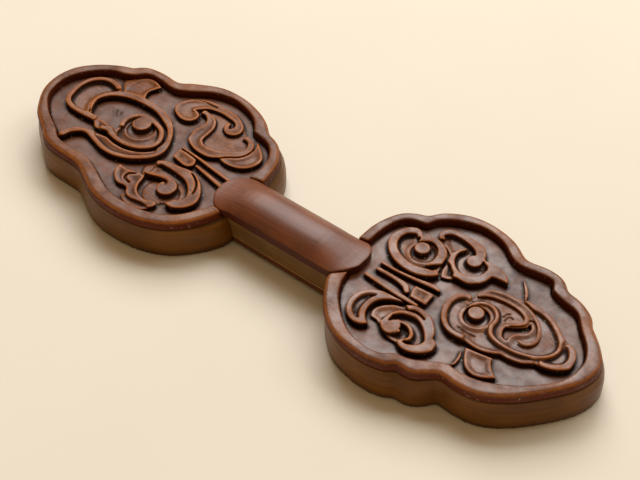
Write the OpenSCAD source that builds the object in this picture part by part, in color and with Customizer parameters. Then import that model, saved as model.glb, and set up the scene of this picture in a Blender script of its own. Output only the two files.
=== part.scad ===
// A carved wooden ruyi hand piece with a cloud-shaped head at each end.
// It lies along X, its top faces +Z, and the origin is on the resting surface below its middle.
// Each head is drawn on its own unit sheet: u runs outwards from the neck line, v runs across.

/* [Heads] */
// Length of each head, from the neck line to the tip of its rim
head_l = 100; // [80:1:130]
// Width that each head's drawing spans across
head_w = 80; // [64:1:104]
// Thickness of the heads, from the resting face to the top of the rim
head_h = 16; // [12:0.5:24]
// How far the belly of the walls stands out past the line of the rim, where its share is 1
wall_out = 2.8; // [1:0.1:5]

/* [Rims] */
// Height of the rim above its seam with the block
rim_h = 3.5; // [2:0.25:6]
// How far the roll of the rim stands out past its flat top
rim_roll = 1.3; // [0.6:0.1:2.5]

/* [Grounds] */
// Depth of the ground below the top of the rim
ground_drop = 3; // [2:0.25:5]
// Thickness of the ground boards
ground_t = 2; // [1:0.25:4]

/* [Carving] */
// Height of the carved forms above the ground
relief_h = 1.9; // [1:0.1:4]
// Height of the beads and ridges above the forms
bead_h = 0.7; // [0.3:0.05:1.5]
// How near to the edge of its form a ridge has to run to take in the ledge beside it
ledge_in = 1; // [0.3:0.1:2]
// Height of the round knobs above the ground
knob_h = 2.7; // [1.5:0.1:5]
// Height of the thin slips and low leaves above the ground
slip_h = 1.1; // [0.5:0.1:3]
// Height of the sunk floors round the knobs above the ground
floor_h = 0.4; // [0.2:0.1:1]

/* [Handle] */
// Distance between the two neck lines
neck_span = 50; // [36:1:80]
// Width of the handle's cover
cover_w = 19.8; // [14:0.2:30]
// Height of the cover's crown above the resting surface
crown_h = 20; // [17:0.5:30]
// How much the cover's sides drop below its crown
dome_drop = 4.2; // [2:0.2:6]
// Length of the cover over its flared ends
cover_l = 66; // [58:1:80]
// How far the cover's middle lies to the right of the middle between the neck lines
cover_off = 3.5; // [0:0.1:8]
// How far the crown sinks towards the ends of the cover
lap_sink = 3.4; // [1:0.2:6]
// How much the core stands in from the cover on each side
core_in = 0.4; // [0.2:0.1:2]
// Height of the base strip
strip_h = 3.1; // [2:0.1:4]
// Gap between the base strip and the resting surface
strip_lift = 1.2; // [0.6:0.1:3]
// How far the handle lies off the middle of the heads
handle_off = -5.6; // [-8:0.1:8]

/* [Joinery] */
// Length of the tenons in the blocks
tenon_l = 15; // [8:0.5:25]
// Width of the tenons
tenon_w = 12; // [8:0.5:18]
// Height of the tenons
tenon_h = 3.6; // [2.4:0.2:4]
// Diameter of the pegs through the tenons
peg_d = 3; // [2:0.25:5]
// Distance from the neck line to the pegs
peg_in = 8; // [4:0.5:12]
// How far the pegs end above the resting surface
peg_lift = 0.3; // [0.1:0.1:1]
// Gap left round the tenons, the pegs, the ground boards and the cover
fit_gap = 0.15; // [0.05:0.05:0.5]

/* [Hidden] */

// How much further a ridge runs out than the gap to the edge of its form
run_out_share = 1.4;
// Overrun of the cuts
over = 1;
// Steps between two points of a curve
curve_steps = 5;
// Faces round the knobs and round the pegs
knob_faces = 40;
peg_faces = 32;
// A length too small to divide by, and the share of a move that a moved point has to keep
tiny = 0.000001;
keep_share = 0.97;
// Turn between the points of a stroke's round end
cap_turn = 30;
// Width that the drawings span, as a share of their length
drawn_w_share = 0.8;
// Place of the part's middle line on the drawings, as a share of their length
axis_share = -0.002;
// Colours of the finishes
rim_brown = [0.45, 0.28, 0.21];
wall_brown = [0.36, 0.24, 0.14];
ground_brown = [0.36, 0.27, 0.22];
scroll_brown = [0.47, 0.31, 0.23];
strip_brown = [0.27, 0.17, 0.08];
peg_brown = [0.55, 0.42, 0.27];

rim_z = head_h - rim_h;
ground_z = head_h - ground_drop;
scale_y = head_w / drawn_w_share;
neck_x = neck_span / 2;

// Places of a drawing on the left and right heads, from shares to lengths
function left_at(p) = [-neck_x - p[0] * head_l, (p[1] - axis_share) * scale_y];
function right_at(p) = [neck_x + p[0] * head_l, (p[1] - axis_share) * scale_y];
function left_all(ps) = [for (p = ps) left_at(p)];
function right_all(ps) = [for (p = ps) right_at(p)];

// A smooth run through hand-placed points, without its last point
function bend(a, b, c, d, t) =
    0.5 * (2 * b + (c - a) * t + (2 * a - 5 * b + 4 * c - d) * t * t + (3 * b - a - 3 * c + d) * t * t * t);
function run(ps) = let (n = len(ps)) [
    for (i = [0 : n - 2]) let (a = i == 0 ? 2 * ps[0] - ps[1] : ps[i - 1],
        d = i == n - 2 ? 2 * ps[n - 1] - ps[n - 2] : ps[i + 2])
        for (s = [0 : curve_steps - 1]) bend(a, ps[i], ps[i + 1], d, s / curve_steps)];
// Runs that meet at corners, as one list of points
function joined(runs) = [for (r = runs) each run(r)];
// An open run with its last point
function open_run(ps) = concat(run(ps), [ps[len(ps) - 1]]);
// A closed smooth loop
function loop_run(ps) = let (n = len(ps)) [
    for (i = [0 : n - 1]) for (s = [0 : curve_steps - 1])
        bend(ps[(i + n - 1) % n], ps[i], ps[(i + 1) % n], ps[(i + 2) % n], s / curve_steps)];

function unit(v) = v / max(norm(v), tiny);
function left_of(v) = [-v[1], v[0]];
function seg_gap(p, a, b) = let (ab = b - a, t = max(0, min(1, ((p - a) * ab) / max(ab * ab, tiny))))
    norm(p - a - t * ab);
function loop_gap(p, ps) = let (n = len(ps)) min([for (i = [0 : n - 1]) seg_gap(p, ps[i], ps[(i + 1) % n])]);
function area_sum(ps, i = 0, s = 0) = i == len(ps) ? s / 2 : let (a = ps[i], b = ps[(i + 1) % len(ps)])
    area_sum(ps, i + 1, s + a[0] * b[1] - a[1] * b[0]);

// A loop with each point moved outwards by its own reach, without the points that would cross
function swollen(ps, reach) = let (n = len(ps), way = area_sum(ps) > 0 ? -1 : 1)
    [for (i = [0 : n - 1]) let (d = reach[i],
        q = ps[i] + way * d * left_of(unit(ps[(i + 1) % n] - ps[(i + n - 1) % n])))
        if (loop_gap(q, ps) > abs(d) * keep_share) q];
// A loop moved outwards by d all round, or inwards where d is negative
function grown(ps, d) = swollen(ps, [for (p = ps) d]);

// Outlines of the heads, as shares of the drawing. The third share is how far the wall stands out there,
// along the belly
left_rim_runs_share = [
    [[-0.050, 0.050, 1.30], [-0.036, 0.118, 1.35], [-0.012, 0.181, 1.30], [0.046, 0.243, 1.20],
        [0.116, 0.270, 1.00]],
    [[0.116, 0.270, 1.00], [0.171, 0.316, 0.90], [0.242, 0.350, 0.80], [0.335, 0.371, 0.80],
        [0.439, 0.365, 0.80], [0.547, 0.312, 0.80], [0.579, 0.288, 0.80], [0.615, 0.275, 0.80],
        [0.690, 0.281, 0.80], [0.767, 0.269, 0.75], [0.811, 0.229, 0.70]],
    [[0.811, 0.229, 0.70], [0.869, 0.204, 0.40], [0.942, 0.152, 0.30], [0.998, 0.081, 0.20],
        [1.014, -0.004, 0.20], [0.994, -0.090, 0.20], [0.932, -0.174, 0.35], [0.890, -0.210, 0.70],
        [0.811, -0.257, 0.80]],
    [[0.811, -0.257, 0.80], [0.770, -0.287, 0.90], [0.705, -0.303, 0.90], [0.617, -0.306, 0.80],
        [0.558, -0.312, 0.75], [0.499, -0.338, 0.80], [0.429, -0.374, 0.80], [0.364, -0.394, 0.80],
        [0.305, -0.400, 0.80], [0.241, -0.397, 0.80], [0.170, -0.385, 0.80], [0.099, -0.356, 0.85],
        [0.052, -0.321, 0.95], [0.017, -0.279, 1.05], [-0.012, -0.226, 1.40], [-0.034, -0.165, 1.70]]];
left_inner_runs_share = [
    [[0.000, 0.046], [-0.003, 0.100], [0.014, 0.162], [0.052, 0.212], [0.099, 0.235], [0.158, 0.244]],
    [[0.158, 0.244], [0.205, 0.297], [0.269, 0.330], [0.359, 0.345], [0.450, 0.322], [0.535, 0.263],
        [0.594, 0.239], [0.670, 0.248], [0.735, 0.244], [0.774, 0.206]],
    [[0.774, 0.206], [0.817, 0.181], [0.862, 0.168], [0.912, 0.131], [0.957, 0.074], [0.980, 0.012],
        [0.976, -0.050], [0.951, -0.110], [0.899, -0.160], [0.852, -0.191], [0.776, -0.229]],
    [[0.776, -0.229], [0.723, -0.264], [0.617, -0.271], [0.558, -0.269], [0.490, -0.294], [0.423, -0.325],
        [0.350, -0.351], [0.272, -0.356], [0.158, -0.338], [0.070, -0.285], [0.020, -0.203],
        [-0.002, -0.148]]];
right_rim_runs_share = [
    [[0.028, 0.045, 0.50], [0.031, 0.143, 0.50], [0.061, 0.230, 0.50], [0.104, 0.271, 0.50],
        [0.152, 0.291, 0.60]],
    [[0.152, 0.291, 0.60], [0.194, 0.346, 0.60], [0.272, 0.390, 0.60], [0.360, 0.401, 0.60],
        [0.458, 0.382, 0.60], [0.532, 0.338, 0.60], [0.566, 0.331, 0.60], [0.600, 0.337, 0.60],
        [0.646, 0.342, 0.60], [0.697, 0.332, 0.60], [0.740, 0.292, 0.65]],
    [[0.740, 0.292, 0.65], [0.801, 0.280, 0.70], [0.857, 0.248, 0.80], [0.885, 0.210, 0.90],
        [0.914, 0.184, 1.00], [0.949, 0.151, 1.10], [0.984, 0.104, 1.15], [0.996, 0.050, 1.10],
        [0.976, -0.028, 0.95], [0.912, -0.123, 0.90], [0.841, -0.203, 0.85], [0.766, -0.256, 0.75],
        [0.690, -0.273, 0.65], [0.613, -0.269, 0.75], [0.575, -0.295, 1.10], [0.535, -0.324, 1.20],
        [0.472, -0.325, 1.25]],
    [[0.472, -0.325, 1.25], [0.445, -0.352, 1.15], [0.375, -0.370, 0.85], [0.300, -0.366, 0.60],
        [0.249, -0.355, 0.45], [0.205, -0.336, 0.30], [0.158, -0.300, 0.20], [0.118, -0.257, 0.20],
        [0.086, -0.211, 0.20], [0.065, -0.176, 0.20], [0.058, -0.148, 0.20]]];
right_inner_runs_share = [
    [[0.060, 0.045], [0.062, 0.130], [0.078, 0.200], [0.110, 0.240], [0.172, 0.258]],
    [[0.172, 0.258], [0.190, 0.297], [0.230, 0.334], [0.289, 0.362], [0.360, 0.374], [0.440, 0.356],
        [0.504, 0.313], [0.554, 0.299], [0.620, 0.308], [0.675, 0.309], [0.700, 0.270]],
    [[0.700, 0.270], [0.754, 0.251], [0.819, 0.235], [0.872, 0.178], [0.925, 0.121], [0.953, 0.055],
        [0.942, -0.038], [0.884, -0.115], [0.813, -0.175], [0.731, -0.218], [0.660, -0.230],
        [0.600, -0.230], [0.548, -0.262], [0.500, -0.289], [0.448, -0.300]],
    [[0.448, -0.300], [0.410, -0.330], [0.354, -0.339], [0.278, -0.326], [0.201, -0.276], [0.136, -0.209],
        [0.100, -0.140]]];
// Layers of the rim's rolled edge: top of the layer up the rim, and its reach out along the roll
roll_layers_share = [[0.12, 0.75], [0.60, 1.00], [0.82, 0.78], [1.00, 0.20]];
// Layers of the blocks' bellied wall: top of the layer up the block, and its reach out along the belly
wall_layers_share = [[0.04, 0.88], [0.12, 0.97], [0.55, 1.00], [0.76, 0.90], [0.90, 0.72], [1.00, 0.50]];
// The cover's plan, along its length and width from its middle
cover_runs_share = [
    [[-0.290, 0.500], [-0.352, 0.530], [-0.418, 0.470], [-0.467, 0.330], [-0.494, 0.120], [-0.500, -0.062],
        [-0.487, -0.288], [-0.448, -0.457], [-0.398, -0.530], [-0.330, -0.500]],
    [[-0.330, -0.500], [0.340, -0.500]],
    [[0.340, -0.500], [0.400, -0.475], [0.438, -0.370], [0.475, -0.220], [0.500, -0.034], [0.498, 0.192],
        [0.478, 0.400], [0.430, 0.545], [0.365, 0.525], [0.300, 0.500]],
    [[0.300, 0.500], [-0.290, 0.500]]];
// Radius of the sunk floor round the left swirl's knob
left_swirl_floor_share = 0.062;
// Half of the width that the flared ends reach, along the cover's width
flare_share = 0.56;
// Roundness of the crown across the cover, and its steps across and along
dome_power = 2.4;
across_steps = 16;
along_steps = 22;
// Where the crown starts to sink, along half the cover's length, and how flat it is at the ends
sink_start_share = 0.4;
end_flat_share = 0.72;

left_outline = joined([for (r = left_rim_runs_share) left_all(r)]);
left_reach = [for (p = joined(left_rim_runs_share)) wall_out * p[2]];
left_inner = joined([for (r = left_inner_runs_share) left_all(r)]);
right_outline = joined([for (r = right_rim_runs_share) right_all(r)]);
right_reach = [for (p = joined(right_rim_runs_share)) wall_out * p[2]];
right_inner = joined([for (r = right_inner_runs_share) right_all(r)]);

// Carved forms of the left head. Outlines are closed runs, strokes carry their width as a third share.
left_cloud_runs_share = [
    [[0.753, 0.108], [0.780, 0.123], [0.830, 0.128], [0.870, 0.115], [0.903, 0.080], [0.916, 0.030],
        [0.910, -0.025], [0.885, -0.080], [0.840, -0.103], [0.780, -0.107], [0.700, -0.101]],
    [[0.700, -0.101], [0.673, -0.122], [0.645, -0.120], [0.612, -0.114], [0.590, -0.124], [0.540, -0.132],
        [0.490, -0.129], [0.440, -0.110], [0.405, -0.075], [0.398, -0.040], [0.410, -0.005], [0.443, 0.032],
        [0.490, 0.050], [0.540, 0.056], [0.585, 0.044], [0.612, 0.010], [0.614, -0.030], [0.594, -0.072]],
    [[0.594, -0.072], [0.620, -0.081], [0.670, -0.074], [0.755, -0.076]],
    [[0.755, -0.076], [0.785, -0.040], [0.800, 0.005], [0.790, 0.050], [0.765, 0.082], [0.753, 0.108]]];
left_cloud_ridge_share = [[0.764, 0.112, 0.012], [0.800, 0.119, 0.016], [0.845, 0.116, 0.018],
    [0.880, 0.096, 0.018], [0.899, 0.062, 0.018], [0.906, 0.020, 0.018], [0.899, -0.028, 0.018],
    [0.877, -0.072, 0.020], [0.836, -0.092, 0.020], [0.780, -0.096, 0.020], [0.706, -0.090, 0.014]];
left_cloud_curl_share = [[0.648, -0.106, 0.012], [0.604, -0.101, 0.014], [0.540, -0.122, 0.016],
    [0.490, -0.119, 0.016], [0.447, -0.101, 0.016], [0.415, -0.071, 0.016], [0.408, -0.040, 0.016],
    [0.419, -0.010, 0.016], [0.450, 0.022, 0.016], [0.492, 0.040, 0.016], [0.540, 0.046, 0.016],
    [0.578, 0.035, 0.016], [0.601, 0.008, 0.014], [0.603, -0.026, 0.012], [0.590, -0.056, 0.006]];
left_cloud_knob_share = [0.535, 0.003, 0.038];
left_cloud_pit_share = [0.527, -0.012, 0.056];
left_cloud_east_floor_share = [[0.570, -0.086], [0.540, -0.100], [0.492, -0.100], [0.453, -0.084],
    [0.430, -0.054], [0.430, -0.022], [0.452, 0.006], [0.492, 0.024], [0.538, 0.030], [0.568, 0.018],
    [0.582, -0.010], [0.578, -0.048]];
left_cloud_west_floor_share = [[0.775, 0.100], [0.830, 0.106], [0.868, 0.086], [0.889, 0.050],
    [0.893, 0.010], [0.884, -0.038], [0.858, -0.074], [0.805, -0.084], [0.775, -0.080], [0.788, -0.044],
    [0.804, 0.005], [0.794, 0.055], [0.775, 0.080]];

left_loop_runs_share = [
    [[0.750, 0.101], [0.710, 0.113], [0.650, 0.126], [0.590, 0.126], [0.520, 0.115], [0.460, 0.092],
        [0.410, 0.052], [0.370, -0.005], [0.350, -0.060], [0.358, -0.105], [0.385, -0.140], [0.430, -0.176],
        [0.490, -0.200], [0.550, -0.203], [0.610, -0.189], [0.665, -0.174], [0.695, -0.182],
        [0.718, -0.210], [0.727, -0.240], [0.742, -0.250], [0.753, -0.238], [0.743, -0.205],
        [0.720, -0.175], [0.690, -0.158], [0.650, -0.146], [0.590, -0.136]],
    [[0.590, -0.136], [0.540, -0.144], [0.485, -0.141], [0.430, -0.119], [0.392, -0.081], [0.385, -0.040],
        [0.398, 0.002], [0.437, 0.045], [0.490, 0.072], [0.550, 0.093], [0.620, 0.096], [0.680, 0.089],
        [0.730, 0.070], [0.765, 0.042], [0.782, 0.003], [0.769, -0.037], [0.746, -0.072]],
    [[0.746, -0.072], [0.752, -0.074]],
    [[0.752, -0.074], [0.782, -0.040], [0.797, 0.005], [0.787, 0.050], [0.762, 0.080], [0.750, 0.101]]];
left_loop_ridge_share = [[0.760, -0.060, 0.006], [0.777, -0.040, 0.009], [0.790, 0.003, 0.011],
    [0.778, 0.046, 0.014], [0.742, 0.078, 0.016], [0.690, 0.100, 0.017], [0.620, 0.111, 0.018],
    [0.550, 0.107, 0.018], [0.482, 0.086, 0.018], [0.424, 0.050, 0.016], [0.385, 0.000, 0.015],
    [0.368, -0.050, 0.015], [0.369, -0.100, 0.015], [0.402, -0.143, 0.015], [0.450, -0.172, 0.016],
    [0.510, -0.190, 0.016], [0.570, -0.187, 0.016], [0.630, -0.170, 0.016], [0.680, -0.165, 0.015],
    [0.716, -0.185, 0.014], [0.733, -0.215, 0.013], [0.740, -0.240, 0.012]];

left_corner_runs_share = [
    [[0.641, 0.222], [0.658, 0.190], [0.663, 0.168], [0.656, 0.148], [0.644, 0.131]],
    [[0.644, 0.131], [0.680, 0.124], [0.715, 0.117], [0.748, 0.107]],
    [[0.748, 0.107], [0.768, 0.130], [0.790, 0.150], [0.800, 0.176]],
    [[0.800, 0.176], [0.776, 0.200], [0.735, 0.236], [0.690, 0.240], [0.641, 0.222]]];

left_far_runs_share = [
    [[0.415, 0.203], [0.394, 0.180], [0.398, 0.152], [0.425, 0.130], [0.460, 0.130], [0.500, 0.148],
        [0.518, 0.172], [0.519, 0.200], [0.506, 0.236], [0.476, 0.266], [0.430, 0.288], [0.370, 0.294],
        [0.300, 0.292], [0.248, 0.276], [0.206, 0.246], [0.180, 0.222]],
    [[0.180, 0.222], [0.130, 0.208], [0.103, 0.180], [0.098, 0.142], [0.113, 0.106], [0.150, 0.076],
        [0.168, 0.054]],
    [[0.168, 0.054], [0.205, 0.031], [0.258, 0.027], [0.305, 0.039], [0.342, 0.062], [0.357, 0.092],
        [0.355, 0.118], [0.350, 0.145], [0.350, 0.172], [0.366, 0.197], [0.392, 0.209], [0.415, 0.203]]];
left_far_curl_runs_share = [
    [[0.424, 0.206], [0.402, 0.192], [0.396, 0.166], [0.411, 0.140], [0.447, 0.130], [0.493, 0.147],
        [0.515, 0.172], [0.516, 0.200], [0.503, 0.234], [0.474, 0.263], [0.430, 0.284], [0.370, 0.290],
        [0.300, 0.288], [0.250, 0.272], [0.212, 0.244], [0.202, 0.212], [0.214, 0.188], [0.240, 0.177],
        [0.265, 0.186], [0.281, 0.206], [0.282, 0.226], [0.272, 0.236]],
    [[0.272, 0.236], [0.266, 0.222], [0.257, 0.206], [0.246, 0.212], [0.246, 0.230], [0.262, 0.246],
        [0.300, 0.254], [0.350, 0.256], [0.395, 0.246], [0.420, 0.226], [0.436, 0.206], [0.424, 0.206]]];
left_far_stem_share = [[0.406, 0.217, 0.008], [0.375, 0.217, 0.020], [0.341, 0.199, 0.034],
    [0.323, 0.166, 0.044], [0.320, 0.132, 0.050], [0.318, 0.100, 0.050], [0.303, 0.070, 0.046],
    [0.265, 0.051, 0.044], [0.215, 0.054, 0.040], [0.173, 0.077, 0.030], [0.137, 0.106, 0.026],
    [0.115, 0.136, 0.022], [0.115, 0.167, 0.022], [0.134, 0.195, 0.018], [0.166, 0.213, 0.010]];
left_crescent_runs_share = [
    [[0.164, 0.050], [0.135, 0.043], [0.099, 0.046], [0.062, 0.061], [0.036, 0.090], [0.027, 0.122],
        [0.033, 0.153], [0.058, 0.178], [0.088, 0.200], [0.116, 0.216]],
    [[0.116, 0.216], [0.096, 0.184], [0.092, 0.142], [0.107, 0.103], [0.142, 0.074], [0.164, 0.050]]];

left_swirl_runs_share = [
    [[0.335, -0.113], [0.305, -0.095], [0.240, -0.083], [0.188, -0.075], [0.130, -0.096], [0.085, -0.136],
        [0.061, -0.180], [0.062, -0.215], [0.083, -0.248], [0.115, -0.268], [0.148, -0.267]],
    [[0.148, -0.267], [0.136, -0.240], [0.134, -0.210], [0.150, -0.182], [0.180, -0.166], [0.215, -0.163],
        [0.255, -0.168], [0.285, -0.180], [0.312, -0.196]],
    [[0.312, -0.196], [0.322, -0.180], [0.324, -0.150], [0.335, -0.113]]];
left_swirl_skirt_runs_share = [
    [[0.335, -0.113], [0.362, -0.150], [0.345, -0.186], [0.312, -0.196]],
    [[0.312, -0.196], [0.306, -0.150], [0.335, -0.113]]];
left_swirl_arm_share = [[0.328, -0.190, 0.006], [0.304, -0.183, 0.014], [0.278, -0.172, 0.016],
    [0.250, -0.164, 0.018], [0.215, -0.163, 0.020], [0.188, -0.172, 0.022], [0.173, -0.190, 0.020]];
left_swirl_groove_share = [[0.190, -0.080, 0.004], [0.165, -0.090, 0.006], [0.140, -0.105, 0.007],
    [0.120, -0.125, 0.007], [0.106, -0.150, 0.006], [0.099, -0.176, 0.004]];
left_swirl_notch_share = [[0.243, -0.192, 0.005], [0.235, -0.181, 0.010], [0.221, -0.182, 0.010],
    [0.216, -0.193, 0.005]];
left_swirl_band_share = [[0.330, -0.117, 0.010], [0.290, -0.105, 0.024], [0.230, -0.101, 0.034],
    [0.165, -0.109, 0.044], [0.115, -0.142, 0.048], [0.087, -0.186, 0.048], [0.094, -0.226, 0.040],
    [0.120, -0.254, 0.026], [0.144, -0.264, 0.012]];
left_swirl_knob_share = [0.200, -0.204, 0.037];
left_swirl_slip_runs_share = [
    [[0.246, -0.180], [0.273, -0.194], [0.282, -0.220], [0.276, -0.250], [0.255, -0.277], [0.222, -0.288],
        [0.195, -0.279], [0.172, -0.268]],
    [[0.172, -0.268], [0.200, -0.258], [0.232, -0.238], [0.246, -0.212], [0.246, -0.180]]];
left_leaf_runs_share = [
    [[0.438, -0.212], [0.395, -0.216], [0.355, -0.206], [0.318, -0.199]],
    [[0.318, -0.199], [0.309, -0.222], [0.302, -0.248], [0.283, -0.276], [0.252, -0.292], [0.215, -0.293],
        [0.195, -0.282]],
    [[0.195, -0.282], [0.178, -0.281], [0.172, -0.297], [0.184, -0.318]],
    [[0.184, -0.318], [0.208, -0.313], [0.240, -0.316], [0.275, -0.323], [0.305, -0.315], [0.322, -0.293]],
    [[0.322, -0.293], [0.340, -0.288], [0.375, -0.292], [0.410, -0.272], [0.432, -0.243],
        [0.438, -0.212]]];
left_lobe_runs_share = [
    [[0.186, -0.322], [0.210, -0.340], [0.250, -0.348], [0.290, -0.345], [0.318, -0.330]],
    [[0.318, -0.330], [0.310, -0.312], [0.275, -0.316], [0.240, -0.308], [0.208, -0.305],
        [0.186, -0.322]]];
left_leaf_mark_share = [[0.352, -0.212, 0.007], [0.373, -0.232, 0.009], [0.367, -0.256, 0.009],
    [0.335, -0.265, 0.007]];
left_tablet_runs_share = [
    [[0.320, -0.004], [0.280, -0.004], [0.230, -0.010]],
    [[0.230, -0.010], [0.220, -0.024], [0.216, -0.044], [0.230, -0.061], [0.252, -0.064]],
    [[0.252, -0.064], [0.312, -0.053]],
    [[0.312, -0.053], [0.317, -0.030], [0.320, -0.004]]];
left_bar_top_share = [[0.318, 0.008, 0.008], [0.240, 0.003, 0.012], [0.140, -0.009, 0.014],
    [0.046, -0.020, 0.014], [0.000, -0.026, 0.014]];
left_bar_low_share = [[0.205, -0.036, 0.010], [0.140, -0.046, 0.016], [0.048, -0.063, 0.018],
    [0.000, -0.072, 0.018]];

// Carved forms of the right head
right_spiral_runs_share = [
    [[0.194, 0.203], [0.182, 0.216], [0.160, 0.224], [0.134, 0.213], [0.114, 0.187], [0.103, 0.152],
        [0.103, 0.122], [0.118, 0.092], [0.150, 0.060], [0.194, 0.038], [0.240, 0.030], [0.284, 0.033],
        [0.325, 0.052], [0.352, 0.078]],
    [[0.352, 0.078], [0.334, 0.106], [0.328, 0.140], [0.320, 0.176], [0.292, 0.207], [0.246, 0.225],
        [0.212, 0.218], [0.194, 0.203]]];
right_spiral_band_share = [[0.186, 0.204, 0.018], [0.158, 0.207, 0.028], [0.130, 0.186, 0.030],
    [0.119, 0.148, 0.031], [0.130, 0.109, 0.032], [0.162, 0.075, 0.033], [0.208, 0.054, 0.035],
    [0.262, 0.050, 0.035], [0.312, 0.068, 0.028], [0.345, 0.085, 0.010]];
right_spiral_ring_share = [[0.205, 0.158, 0.012], [0.207, 0.190, 0.018], [0.240, 0.210, 0.024],
    [0.278, 0.196, 0.026], [0.300, 0.164, 0.026], [0.304, 0.126, 0.024], [0.290, 0.096, 0.010]];
right_spiral_knob_share = [0.229, 0.151, 0.029];
right_spiral_pit_share = [0.238, 0.144, 0.046];
right_hook_runs_share = [
    [[0.247, 0.229], [0.231, 0.250], [0.236, 0.277], [0.260, 0.298], [0.300, 0.304], [0.360, 0.303],
        [0.400, 0.292], [0.424, 0.272], [0.432, 0.250]],
    [[0.432, 0.250], [0.460, 0.247], [0.500, 0.242], [0.540, 0.228], [0.563, 0.200]],
    [[0.563, 0.200], [0.520, 0.197], [0.500, 0.192]],
    [[0.500, 0.192], [0.494, 0.156], [0.475, 0.126], [0.445, 0.110], [0.405, 0.109], [0.376, 0.094],
        [0.356, 0.088]],
    [[0.356, 0.088], [0.341, 0.115], [0.334, 0.150], [0.325, 0.184], [0.296, 0.213], [0.247, 0.229]]];
right_hook_band_share = [[0.247, 0.236, 0.014], [0.246, 0.262, 0.018], [0.268, 0.285, 0.022],
    [0.310, 0.291, 0.024], [0.360, 0.286, 0.030], [0.398, 0.270, 0.036], [0.414, 0.244, 0.038],
    [0.410, 0.216, 0.040]];
right_hook_ring_share = [[0.352, 0.246, 0.010], [0.337, 0.215, 0.013], [0.344, 0.178, 0.014],
    [0.368, 0.146, 0.018], [0.402, 0.128, 0.024], [0.438, 0.132, 0.026], [0.469, 0.158, 0.026],
    [0.481, 0.194, 0.026], [0.474, 0.222, 0.022], [0.450, 0.239, 0.014]];
right_hook_tail_share = [[0.474, 0.228, 0.020], [0.505, 0.219, 0.032], [0.538, 0.209, 0.020],
    [0.558, 0.202, 0.006]];
right_hook_knob_share = [0.410, 0.215, 0.028];
right_bar_top_share = [[0.158, 0.009, 0.011], [0.230, 0.011, 0.013], [0.300, 0.019, 0.015],
    [0.360, 0.029, 0.019], [0.392, 0.026, 0.012]];
right_bar_mid_share = [[0.164, -0.023, 0.016], [0.240, -0.022, 0.018], [0.286, -0.029, 0.024],
    [0.306, -0.046, 0.020]];
right_bar_low_share = [[0.146, -0.069, 0.015], [0.220, -0.073, 0.019], [0.300, -0.077, 0.020],
    [0.372, -0.078, 0.014]];
right_tablet_runs_share = [[[0.316, -0.006], [0.392, 0.000]], [[0.392, 0.000], [0.395, -0.058]],
    [[0.395, -0.058], [0.330, -0.060]], [[0.330, -0.060], [0.318, -0.032], [0.316, -0.006]]];
right_crescent_runs_share = [
    [[0.335, -0.098], [0.280, -0.100], [0.240, -0.106], [0.205, -0.125], [0.183, -0.156], [0.177, -0.190],
        [0.184, -0.226], [0.206, -0.258], [0.240, -0.276], [0.275, -0.273], [0.298, -0.253]],
    [[0.298, -0.253], [0.275, -0.238], [0.257, -0.212], [0.252, -0.180], [0.260, -0.148], [0.288, -0.120],
        [0.335, -0.098]]];
right_crescent_outer_share = [[0.325, -0.101, 0.008], [0.245, -0.111, 0.012], [0.211, -0.130, 0.013],
    [0.191, -0.158, 0.014], [0.185, -0.190, 0.014], [0.192, -0.224, 0.014], [0.213, -0.252, 0.014],
    [0.243, -0.268, 0.014], [0.274, -0.265, 0.012], [0.290, -0.254, 0.008]];
right_crescent_inner_share = [[0.302, -0.114, 0.008], [0.271, -0.130, 0.012], [0.251, -0.152, 0.012],
    [0.244, -0.184, 0.012], [0.250, -0.214, 0.012], [0.266, -0.236, 0.010], [0.280, -0.246, 0.006]];
right_rosette_runs_share = [
    [[0.345, -0.106], [0.306, -0.122], [0.276, -0.152], [0.266, -0.184], [0.276, -0.212]],
    [[0.276, -0.212], [0.305, -0.214], [0.325, -0.226], [0.350, -0.244], [0.385, -0.252], [0.412, -0.252]],
    [[0.412, -0.252], [0.440, -0.268], [0.475, -0.268], [0.510, -0.250], [0.536, -0.216], [0.534, -0.184],
        [0.506, -0.168]],
    [[0.506, -0.168], [0.497, -0.142], [0.468, -0.110], [0.434, -0.090], [0.380, -0.086],
        [0.345, -0.106]]];
right_rosette_top_share = [[0.350, -0.102, 0.008], [0.385, -0.097, 0.014], [0.428, -0.102, 0.020],
    [0.463, -0.122, 0.024], [0.487, -0.148, 0.022], [0.500, -0.168, 0.010]];
right_rosette_swirl_share = [[0.333, -0.168, 0.012], [0.352, -0.142, 0.016], [0.385, -0.127, 0.018],
    [0.420, -0.126, 0.018], [0.456, -0.145, 0.018], [0.485, -0.172, 0.020], [0.508, -0.200, 0.034],
    [0.494, -0.236, 0.032], [0.456, -0.256, 0.024], [0.424, -0.252, 0.014]];
right_rosette_curl_share = [[0.333, -0.176, 0.014], [0.334, -0.200, 0.018], [0.352, -0.222, 0.020],
    [0.380, -0.228, 0.016], [0.398, -0.214, 0.012]];
right_rosette_petal_share = [[0.366, -0.178, 0.008], [0.410, -0.177, 0.013], [0.438, -0.196, 0.015],
    [0.445, -0.222, 0.013], [0.430, -0.238, 0.008]];
right_rosette_knob_share = [0.370, -0.204, 0.023];
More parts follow.
